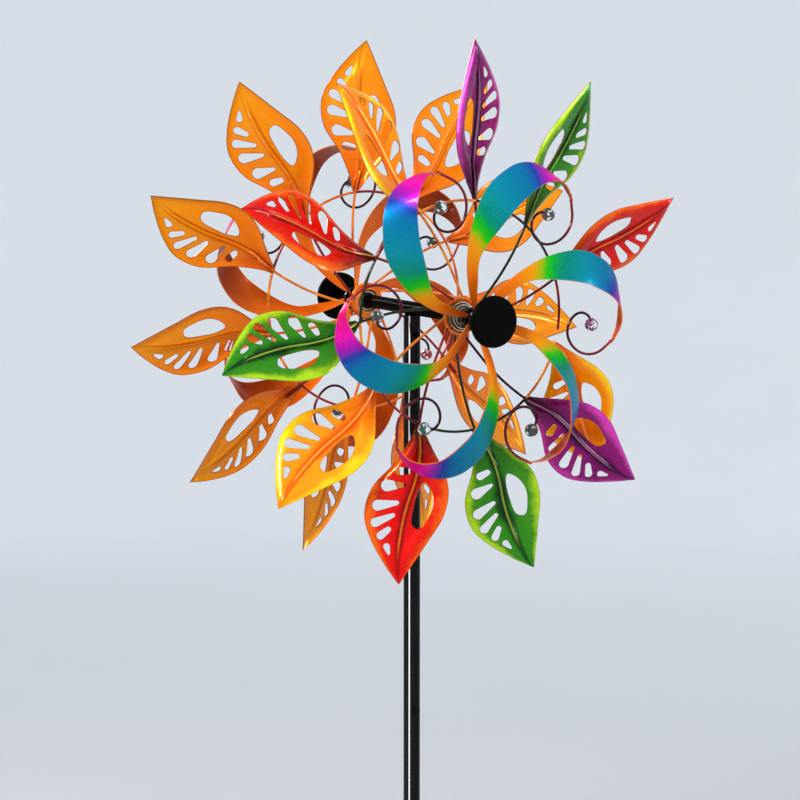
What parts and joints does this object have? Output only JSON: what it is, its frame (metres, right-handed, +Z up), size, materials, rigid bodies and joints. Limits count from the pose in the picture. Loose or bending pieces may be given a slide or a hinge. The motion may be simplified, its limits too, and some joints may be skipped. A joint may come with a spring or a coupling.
{
  "type": "wind spinner",
  "caption": "Garden wind spinner: a tall pole on a pronged stake carries counter-turning wheels of pierced metal leaves and rainbow ribbons, front and back.",
  "frame": {"origin": "centre of the circle of ground prongs on the step plate's underside, on the pole's axis, at soil level", "axes": "+Z up the pole, -Y the front (the spinner's front cap faces -Y), +X to the right seen from the front"},
  "size_m": [0.593, 0.356, 1.8958],
  "materials": {
    "black_enamel": "gloss",
    "zinc_steel": "satin",
    "chrome_sleeve": "polished",
    "brass_bush": "satin",
    "orange_enamel": "gloss",
    "plum_enamel": "gloss",
    "leaf_yellow": "gloss",
    "leaf_purple": "gloss",
    "leaf_green": "gloss",
    "leaf_red": "gloss",
    "rainbow_enamel": "satin, fading along the strip",
    "clear_glass": "faceted"
  },
  "bodies": {
    "post": {"step_plate": "black_enamel", "ground_prongs": "black_enamel", "lower_pole": "black_enamel", "middle_pole": "black_enamel", "upper_pole": "black_enamel", "pole_screws": "zinc_steel", "crossbar": "black_enamel", "axle_rod": "zinc_steel", "axle_spacers": "chrome_sleeve", "lock_nuts": "zinc_steel"},
    "front_leaf_rotor": {"front_leaf_hub": "orange_enamel", "front_leaf_bush": "brass_bush", "front_leaf_wires": "orange_enamel", "front_leaf_01": "leaf_yellow", "front_leaf_02": "leaf_purple", "front_leaf_03": "leaf_green", "front_leaf_04": "leaf_red", "front_leaf_05": "leaf_yellow", "front_leaf_06": "leaf_purple", "front_leaf_07": "leaf_green", "front_leaf_08": "leaf_red", "front_leaf_09": "leaf_yellow", "front_leaf_10": "leaf_green", "front_leaf_11": "leaf_red"},
    "front_ribbon_rotor": {"front_ribbon_hub": "black_enamel", "front_ribbon_bush": "brass_bush", "front_hub_cap": "black_enamel", "front_scroll_wires": "plum_enamel", "front_glass_balls": "clear_glass", "front_ribbon_1": "rainbow_enamel", "front_ribbon_2": "rainbow_enamel", "front_ribbon_3": "rainbow_enamel", "front_ribbon_4": "rainbow_enamel", "front_ribbon_5": "rainbow_enamel", "front_ribbon_6": "rainbow_enamel"},
    "rear_leaf_rotor": {"rear_leaf_hub": "orange_enamel", "rear_leaf_bush": "brass_bush", "rear_leaf_wires": "orange_enamel", "rear_leaf_01": "leaf_yellow", "rear_leaf_02": "leaf_purple", "rear_leaf_03": "leaf_green", "rear_leaf_04": "leaf_red", "rear_leaf_05": "leaf_yellow", "rear_leaf_06": "leaf_purple", "rear_leaf_07": "leaf_green", "rear_leaf_08": "leaf_red", "rear_leaf_09": "leaf_yellow", "rear_leaf_10": "leaf_green", "rear_leaf_11": "leaf_red"},
    "rear_ribbon_rotor": {"rear_ribbon_hub": "black_enamel", "rear_ribbon_bush": "brass_bush", "rear_hub_cap": "black_enamel", "rear_scroll_wires": "plum_enamel", "rear_glass_balls": "clear_glass", "rear_ribbon_1": "rainbow_enamel", "rear_ribbon_2": "rainbow_enamel", "rear_ribbon_3": "rainbow_enamel", "rear_ribbon_4": "rainbow_enamel", "rear_ribbon_5": "rainbow_enamel", "rear_ribbon_6": "rainbow_enamel"}
  },
  "joints": [
    {"name": "front_leaf_spin", "type": "hinge", "parent": "post", "child": "front_leaf_rotor", "pos_m": [0, 0, 1.43], "axis": [0, -1, 0], "continuous": true},
    {"name": "front_ribbon_spin", "type": "hinge", "parent": "post", "child": "front_ribbon_rotor", "pos_m": [0, 0, 1.43], "axis": [0, -1, 0], "continuous": true},
    {"name": "rear_leaf_spin", "type": "hinge", "parent": "post", "child": "rear_leaf_rotor", "pos_m": [0, 0, 1.43], "axis": [0, 1, 0], "continuous": true},
    {"name": "rear_ribbon_spin", "type": "hinge", "parent": "post", "child": "rear_ribbon_rotor", "pos_m": [0, 0, 1.43], "axis": [0, 1, 0], "continuous": true}
  ]
}
